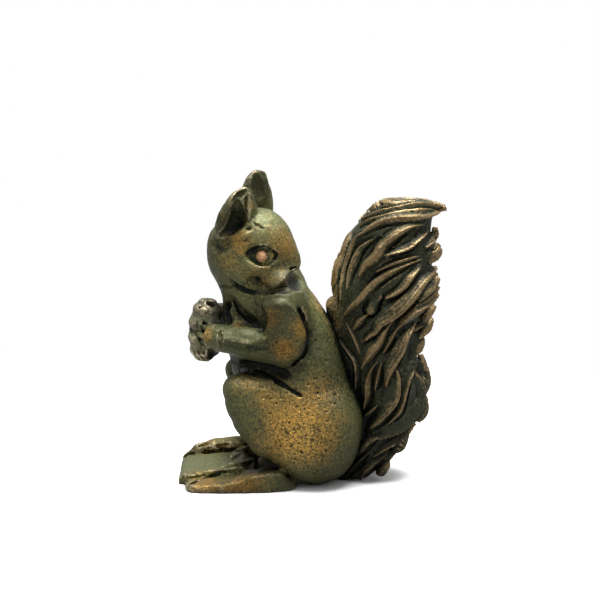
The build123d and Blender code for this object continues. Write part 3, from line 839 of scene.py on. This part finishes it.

# %% Spots rubbed bright and spots of painted light and shade
# each spot: a picture point, its reach in millimetres, and how much is rubbed
rubbed_spots = [
    # thigh, hip and knee
    (300, 428, 12, 0.9), (318, 394, 7, 0.6), (272, 400, 7, 0.5), (248, 384, 5, 0.4),
    # arm and breast
    (285, 350, 4, 0.9), (301, 330, 4, 0.6), (272, 318, 4, 0.6), (242, 326, 3, 0.6),
    # head and ear
    (262, 276, 8, 0.35), (285, 245, 6, 0.6), (240, 240, 5, 0.6), (228, 262, 6, 0.35), (250, 206, 1.6, 0.8),
    (224, 217, 1.6, 0.5),
    # foot, paw, drop and back
    (240, 484, 8, 0.7), (205, 486, 7, 0.7), (205, 334, 3, 0.8), (371, 306, 1.6, 1.0), (324, 298, 5, 0.55),
    (334, 322, 5, 0.5),
]
# each spot: a picture point, its reach, and a factor on the colour: below 1 it paints shade, above 1 it
# paints light
painted_light_and_shade_spots = [
    # painted shade in hollows, under the chin and under the haunch, and one spot that lightens the eye bead
    (237, 214, 3.5, 0.25), (228, 229, 2.5, 0.3), (258, 190, 3.5, 0.7), (282, 292, 3, 0.45),
    (262, 468, 4.5, 0.2), (288, 480, 3.5, 0.5), (308, 334, 1.8, 0.15), (306, 349, 1.8, 0.15),
    (300, 366, 2.5, 0.5), (213, 356, 2.5, 0.3), (230, 312, 3, 0.4), (262, 257, 2.8, 2.6), (236, 364, 5, 0.3),
    (283, 374, 3.5, 0.5), (316, 470, 5, 0.7),
    # painted light on the crown, the plate, the feet and the thigh, and painted shade on top of the thigh
    (265, 216, 6, 2.0), (203, 468, 8, 1.8), (226, 464, 5, 1.4), (222, 444, 5, 1.9), (300, 428, 9, 1.8),
    (302, 463, 7, 1.6), (325, 395, 6, 0.6),
    # jaw, neck, arm and knee
    (241, 268, 6, 1.9), (242, 302, 5, 1.5), (250, 347, 4, 1.5), (200, 352, 5, 1.8), (206, 334, 4, 1.3),
    (241, 386, 6, 1.35), (276, 319, 4, 0.65), (270, 279, 4, 0.75), (286, 254, 4, 0.8),
    # near sole, back, tail
    (230, 486, 9, 0.65), (316, 306, 4, 1.4), (341, 277, 8, 1.8), (362, 460, 9, 0.6), (350, 478, 8, 0.6),
    # ears, arm, thigh and back
    (261, 181, 7, 0.55), (226, 222, 3, 0.35), (249, 205, 2, 1.5), (250, 352, 6, 0.8), (277, 347, 5, 0.8),
    (215, 341, 3.5, 1.25), (303, 425, 7, 1.25), (262, 420, 8, 1.25), (334, 322, 5, 1.2),
]


def placed(field, spots):
    """Spots with their picture points replaced by places on the wax."""
    places = touch(field, [spot[:2] for spot in spots])
    return [(place, *spot[2:]) for place, spot in zip(places, spots)]


def fall_off(points, place, reach):
    """Shares from 1 at a spot down to 0, for the spot and its mirror image across the figure."""
    for middle in (place, place * across_figure):
        away = np.linalg.norm(points - middle, axis=1)
        yield np.exp(-((away / reach) ** 2))


rubbed_places = placed(figure, rubbed_spots)
painted_light_and_shade_places = placed(whole, painted_light_and_shade_spots)
print(len(rubbed_spots), "rubbed and", len(painted_light_and_shade_spots), "toned spots")


# %% Wear at any point of the skin
# each view: its field, its step in grid points, and its span from no wear to full, in millimetres
wear_views = ((edge_view, 1, 0.5), (form_view, 2, 1.2), (hollow_view, 3, 3.0))
neutral = 0.5
tail_foot_dark = 0.16
tail_foot_top = 40
tail_foot_fade = 30


def rubbed(points):
    """How far each point has been rubbed bright, from 0 to 1."""
    share = np.zeros(len(points))
    for place, reach, strength in rubbed_places:
        for near in fall_off(points, place, reach):
            share = np.maximum(share, strength * near)
    return share


def painted_light_and_shade(points):
    """By how much the painted light and shade of the spots makes each point paler or darker."""
    share = np.ones(len(points), np.float32)
    for place, reach, factor in painted_light_and_shade_places:
        for near in fall_off(points, place, reach):
            share *= 1 + (factor - 1) * near
    return share


def wear(points, node):
    """Edge, form, hollow and rubbed share of each point, as the four parts of a colour."""
    values = np.ones((len(points), 4), np.float32)
    for part, (view, step, span) in enumerate(wear_views):
        values[:, part] = neutral + read(view, points, step * voxel) / span
    values[:, 3] = rubbed(points)
    if node == "tail":
        # the colour grows darker towards the foot of the tail
        height = points[:, 2:]
        values[:, :3] -= tail_foot_dark * np.clip((tail_foot_top - height) / tail_foot_fade, 0, 1)
    return np.clip(values, 0, 1)


# %% [markdown]
# ## Casting the wax
#
# The real wax was burnt out of its mould and bronze ran in. Here the skin of the field, where the
# distance is zero, becomes a mesh. The figure is one field, so each CAD piece takes the part of it
# that lies on its own side of the seams, with a small overlap that keeps the seams closed. The wear
# goes along as attributes of the points, because a material can read these at no cost.

# %% One mesh for each CAD piece
overlap = 0.4
crop_reach = 2.1
slots = {"nut": "nut_bronze", "left_eye": "eye_bronze", "right_eye": "eye_bronze", "tail": "tail_bronze"}


def own_share(name):
    """How far a place lies on a piece's own side of the seams with the other pieces."""
    rest = np.minimum.reduce([lumps[other] for other in figure_names if other != name])
    return (lumps[name] - rest) / 2


def crop(name):
    """The part of the block that holds a CAD node."""
    points, _ = casting(name)
    cut, _ = window([points.min(0), points.max(0)], crop_reach)
    return cut


def cast(node, field, cut):
    """Turn a field into a mesh that stands for a CAD node."""
    name = "cast_" + node
    grid = openvdb.FloatGrid(band * voxel)
    grid.transform = openvdb.createLinearTransform(voxelSize=voxel)
    corner = tuple(int(b + c.start) for b, c in zip(block_low, cut))
    grid.copyFromArray(np.ascontiguousarray(field, np.float32), ijk=corner, tolerance=0)
    points, triangles, quads = grid.convertToPolygons(isovalue=0, adaptivity=0)
    faces = [face[::-1] for face in quads.tolist()] + [face[::-1] for face in triangles.tolist()]
    mesh = bpy.data.meshes.new(name)
    mesh.from_pydata((points * mm).tolist(), [], faces)
    mesh.polygons.foreach_set("use_smooth", [True] * len(mesh.polygons))
    # both come first, because adding one makes an earlier reference stale
    mesh.attributes.new("wear", "FLOAT_COLOR", "POINT")
    mesh.attributes.new("painted_light_shade", "FLOAT", "POINT")
    mesh.attributes["wear"].data.foreach_set("color", wear(points, node).ravel())
    # the second attribute carries the painted light and shade of the spots
    mesh.attributes["painted_light_shade"].data.foreach_set("value", painted_light_and_shade(points))
    piece = add_object(name, mesh)
    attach(piece, "root")
    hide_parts(node)
    print(name, len(mesh.polygons), "faces")
    return piece


pieces = {}
for name in figure_names:
    cut = crop(name)
    own = np.maximum(figure[cut], (own_share(name) - overlap)[cut])
    pieces[name] = cast(name, own, cut)
everywhere = tuple(slice(0, n) for n in shape)
pieces["tail"] = cast("tail", tail, everywhere)

# %% [markdown]
# ## Bronze
#
# Patinated bronze is a dark green-brown skin over bright metal. One node group works out colour,
# roughness, metal and height from the wear, so that all bronzes share it and only their colours
# differ. Clouds, specks and grit are noises of three sizes; they break up every edge between two
# colours. A painted texture could do this too, but it would need an unwrapped mesh.


# %% Nodes and their links
def feed(tree, node, inputs):
    """Set each input of a node to a value, or link it where it is given another node's output."""
    for name, value in inputs.items():
        if isinstance(value, bpy.types.NodeSocket):
            tree.links.new(value, node.inputs[name])
        else:
            node.inputs[name].default_value = value


def add_node(tree, kind, inputs, **settings):
    """Add a node with its inputs and settings."""
    node = tree.nodes.new("ShaderNode" + kind)
    for name, value in settings.items():
        setattr(node, name, value)
    feed(tree, node, inputs)
    return node.outputs


def smooth_ramp(tree, value, low, high, to_low=0, to_high=1):
    """A value brought from one range to another along a soft step."""
    inputs = {"Value": value, "From Min": low, "From Max": high, "To Min": to_low, "To Max": to_high}
    return add_node(tree, "MapRange", inputs, interpolation_type="SMOOTHSTEP")["Result"]


# %% Patina as a node group
cloud_noise = (120, 3)
speck_noise = (1300, 4)
grit_noise = (3200, 2)
pit_noise = (2300, 2)
dark_ramp = (0.20, 0.52)
gold_ramp = (0.05, 0.95)
rubbed_ramp = (0, 0.22)
pit_ramp = (0.57, 0.65)
pit_share_ramp = (0, 0.7, 0.35, 0.95)
roughness_ramp = (0, 1, 0.48, 0.38)
metal_ramp = (0, 1, 0.25, 0.7)
darkest_grain = 0.2
palette_titles = ("Dark", "Middle", "Rubbed", "Gold")
patina_sockets = {
    ("INPUT", "Color"): palette_titles,
    ("INPUT", "Float"): ["Worn From"],
    ("OUTPUT", "Color"): ["Color"],
    ("OUTPUT", "Float"): ["Roughness", "Metallic", "Height"],
}


def patina_group():
    """Colour, roughness, metal and height of patinated bronze from its wear."""
    tree = bpy.data.node_groups.new("patina", "ShaderNodeTree")
    for (side, kind), titles in patina_sockets.items():
        for title in titles:
            tree.interface.new_socket(title, in_out=side, socket_type="NodeSocket" + kind)
    given = tree.nodes.new("NodeGroupInput").outputs
    gives = tree.nodes.new("NodeGroupOutput").inputs
    link = tree.links.new
    place = add_node(tree, "TexCoord", {})["Object"]

    def noise(scale, detail):
        return add_node(tree, "TexNoise", {"Scale": scale, "Detail": detail, "Vector": place})["Fac"]

    def ramp(value, *limits):
        return smooth_ramp(tree, value, *limits)

    def sums(kind, a, b):
        return add_node(tree, "Math", {0: a, 1: b}, operation=kind)[0]

    def weighed(*parts):
        total = 0
        for signal, share in parts:
            total = sums("ADD", sums("MULTIPLY", signal, share), total)
        return total

    def mix(share, a, b):
        return add_node(tree, "Mix", {"Factor": share, "A": a, "B": b}, data_type="RGBA")["Result"]

    clouds, specks, grit = (
        sums("SUBTRACT", noise(*sizes), 0.5) for sizes in (cloud_noise, speck_noise, grit_noise)
    )
    worn = add_node(tree, "Attribute", {}, attribute_name="wear")
    # painted light and shade of the spots, as a factor on the colour
    painted_light_shade = add_node(tree, "Attribute", {}, attribute_name="painted_light_shade")["Fac"]
    hand = worn["Alpha"]
    edge, form, hollow = add_node(tree, "SeparateColor", {"Color": worn["Color"]})

    # dark hollows, then the middle tone of the skin
    level = weighed((form, 0.5), (hollow, 0.5), (clouds, 0.12), (specks, 0.45), (grit, 0.4))
    skin = ramp(level, *dark_ramp)
    color = mix(skin, given["Dark"], given["Middle"])
    # gold where hands have polished it, but not in the hollows
    gold = weighed((hand, 1), (clouds, 0.5), (specks, 0.8), (grit, 0.6))
    gold = sums("MULTIPLY", ramp(gold, *gold_ramp), skin)
    color = mix(gold, color, given["Gold"])
    # bright edges
    rub = weighed((edge, 0.7), (form, 0.3), (specks, 0.30))
    rubbed = ramp(sums("SUBTRACT", rub, given["Worn From"]), *rubbed_ramp)
    color = mix(rubbed, color, given["Rubbed"])
    # casting pits: small black dots, most of them where the skin is rubbed bare
    pits = sums("MULTIPLY", ramp(noise(*pit_noise), *pit_ramp), ramp(hand, *pit_share_ramp))
    color = mix(pits, color, given["Dark"])
    # grain makes each place a little darker or paler, and the painted light and shade of the spots is
    # multiplied in
    grain = sums("ADD", weighed((specks, 1.2), (grit, 1.0)), 1)
    scale = sums("MULTIPLY", painted_light_shade, sums("MAXIMUM", grain, darkest_grain))
    color = add_node(tree, "VectorMath", {0: color, "Scale": scale}, operation="SCALE")["Vector"]
    link(color, gives["Color"])
    # bare metal is smoother, and reflects as metal does
    shine = sums("MAXIMUM", rubbed, sums("MULTIPLY", gold, 0.7))
    link(ramp(shine, *roughness_ramp), gives["Roughness"])
    link(ramp(shine, *metal_ramp), gives["Metallic"])
    link(weighed((specks, 1), (grit, 0.5), (pits, -0.6)), gives["Height"])
    return tree


patina = patina_group()
print("patina group with", len(patina.nodes), "nodes")

# %% Bronzes of the pieces
bronze_sheen = 0.25
bump_strength = 0.5
bump_height = 0.2
# where edges begin to be worn, then the colours: dark, middle, rubbed and gold
palettes = {
    "bronze": (0.66, (0.003, 0.006, 0.003), (0.064, 0.068, 0.027), (0.28, 0.235, 0.14), (0.25, 0.142, 0.032)),
    "tail_bronze": (
        0.66, (0.002, 0.0025, 0.001), (0.026, 0.030, 0.014), (0.22, 0.155, 0.075), (0.22, 0.14, 0.06),
    ),
    "nut_bronze": (0.60, (0.007, 0.009, 0.005), (0.11, 0.108, 0.066), (0.30, 0.25, 0.16), (0.28, 0.18, 0.08)),
    "eye_bronze": (0.58, (0.02, 0.016, 0.008), (0.13, 0.07, 0.035), (0.20, 0.115, 0.06), (0.20, 0.11, 0.055)),
    "dowel_brass": (0.58, (0.2, 0.15, 0.06), (0.4, 0.3, 0.12), (0.5, 0.4, 0.2), (0.5, 0.4, 0.2)),
}


def new_material(name):
    """A material with nodes, its node tree and its shader."""
    material = bpy.data.materials.new(name)
    material.use_nodes = True
    return material, material.node_tree, material.node_tree.nodes["Principled BSDF"]


def bronze_material(name, worn_from, *colors):
    """A bronze of its own colours, worn by the patina group."""
    material, tree, shader = new_material(name)
    inputs = {title: (*color, 1) for title, color in zip(palette_titles, colors)}
    worn = add_node(tree, "Group", {"Worn From": worn_from, **inputs}, node_tree=patina)
    relief = {"Strength": bump_strength, "Distance": bump_height * mm, "Height": worn["Height"]}
    feed(tree, shader, {"Specular IOR Level": bronze_sheen, "Base Color": worn["Color"]})
    feed(tree, shader, {title: worn[title] for title in ("Roughness", "Metallic")})
    feed(tree, shader, {"Normal": add_node(tree, "Bump", relief)["Normal"]})
    return material


bronzes = {name: bronze_material(name, *palette) for name, palette in palettes.items()}
for name, piece in pieces.items():
    piece.data.materials.append(bronzes[slots.get(name, "bronze")])
for name, node in nodes.items():
    if "dowel" in name:
        node.data.materials.clear()
        node.data.materials.append(bronzes["dowel_brass"])
print("bronzes:", ", ".join(bronzes))

# %% [markdown]
# ## Light and ground
#
# The figure was shot in a white light tent: light from all round, a little more from above, and a
# white sheet under it that keeps only a faint shadow where the metal touches it. The camera sees the
# tent as plain white, while the metal reflects a tent that is darker near the ground and in front.

# %% A white light tent
scene.view_settings.view_transform = "Standard"
tent_light = (0.30, 1.0)
tent_tilt = (0, 0.25, 0.97)
tent_edges = (-0.1, 0.9)


def light_tent():
    """A white tent that is open, and so darker, on the camera's side."""
    world = bpy.data.worlds.new("light_tent")
    scene.world = world
    world.use_nodes = True
    tree = world.node_tree
    way = add_node(tree, "TexCoord", {})["Generated"]
    tilt = add_node(tree, "VectorMath", {0: way, 1: tent_tilt}, operation="DOT_PRODUCT")["Value"]
    wall = smooth_ramp(tree, tilt, *tent_edges, *tent_light)
    camera_ray = add_node(tree, "LightPath", {})["Is Camera Ray"]
    seen = add_node(tree, "Math", {0: camera_ray, 1: wall}, operation="MAXIMUM")[0]
    background = tree.nodes["Background"]
    background.inputs["Color"].default_value = (1, 1, 1, 1)
    tree.links.new(seen, background.inputs["Strength"])


light_tent()
print("light tent:", tent_light)

# %% Lamp overhead
lamp_place = (0.04, -0.02, 0.55)
lamp_target = (0, 0, 0.045)
lamp_size = 0.40
lamp_power = 7.0

lamp_data = bpy.data.lights.new("overhead", "AREA")
lamp_data.shape = "DISK"
lamp_data.size = lamp_size
lamp_data.energy = lamp_power
lamp = add_object("overhead", lamp_data)
lamp.location = lamp_place
lamp.rotation_euler = (Vector(lamp_target) - Vector(lamp_place)).to_track_quat("-Z", "Y").to_euler()
print("lamp of", lamp_power, "W over the figure")

# %% White sheet under the figure
sheet_half = 1.2
sheet_white = (0.96, 0.965, 0.965, 1)
sheet_grey = (0.3, 0.3, 0.3, 1)
sheet_fade = (0.06, 0.16)


def sheet_material():
    """White paper whose far parts are as white as the tent, and which the metal sees as grey."""
    material, tree, shader = new_material("white_sheet")
    feed(tree, shader, {"Base Color": sheet_white, "Roughness": 0.8, "Specular IOR Level": 0.2})
    grey = add_node(tree, "BsdfDiffuse", {"Color": sheet_grey})[0]
    glow = add_node(tree, "Emission", {})[0]
    place = add_node(tree, "TexCoord", {})["Object"]
    away = add_node(tree, "VectorMath", {0: place}, operation="LENGTH")["Value"]
    far = smooth_ramp(tree, away, *sheet_fade)
    fade = add_node(tree, "MixShader", {0: far, 1: shader.outputs[0], 2: glow})[0]
    camera_ray = add_node(tree, "LightPath", {})["Is Camera Ray"]
    seen = add_node(tree, "MixShader", {0: camera_ray, 1: grey, 2: fade})[0]
    tree.links.new(seen, tree.nodes["Material Output"].inputs["Surface"])
    return material


corners = [(x * sheet_half, y * sheet_half, 0) for x, y in ((-1, -1), (1, -1), (1, 1), (-1, 1))]
sheet_mesh = bpy.data.meshes.new("ground_sheet")
sheet_mesh.from_pydata(corners, [], [(0, 1, 2, 3)])
sheet_mesh.materials.append(sheet_material())
sheet = add_object("ground_sheet", sheet_mesh)
sheet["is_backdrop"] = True
print("sheet", 2 * sheet_half, "m wide")

# %% [markdown]
# ## Size
#
# The visual model has to stay within the box of the castings, but for a little relief. Both boxes are
# kept side by side.

# %% Boxes of castings and visual model
visual_low, visual_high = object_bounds()
size = {
    "cad": [list(cad_low), list(cad_high)],
    "visual": [list(visual_low), list(visual_high)],
}
print("boxes:", size)
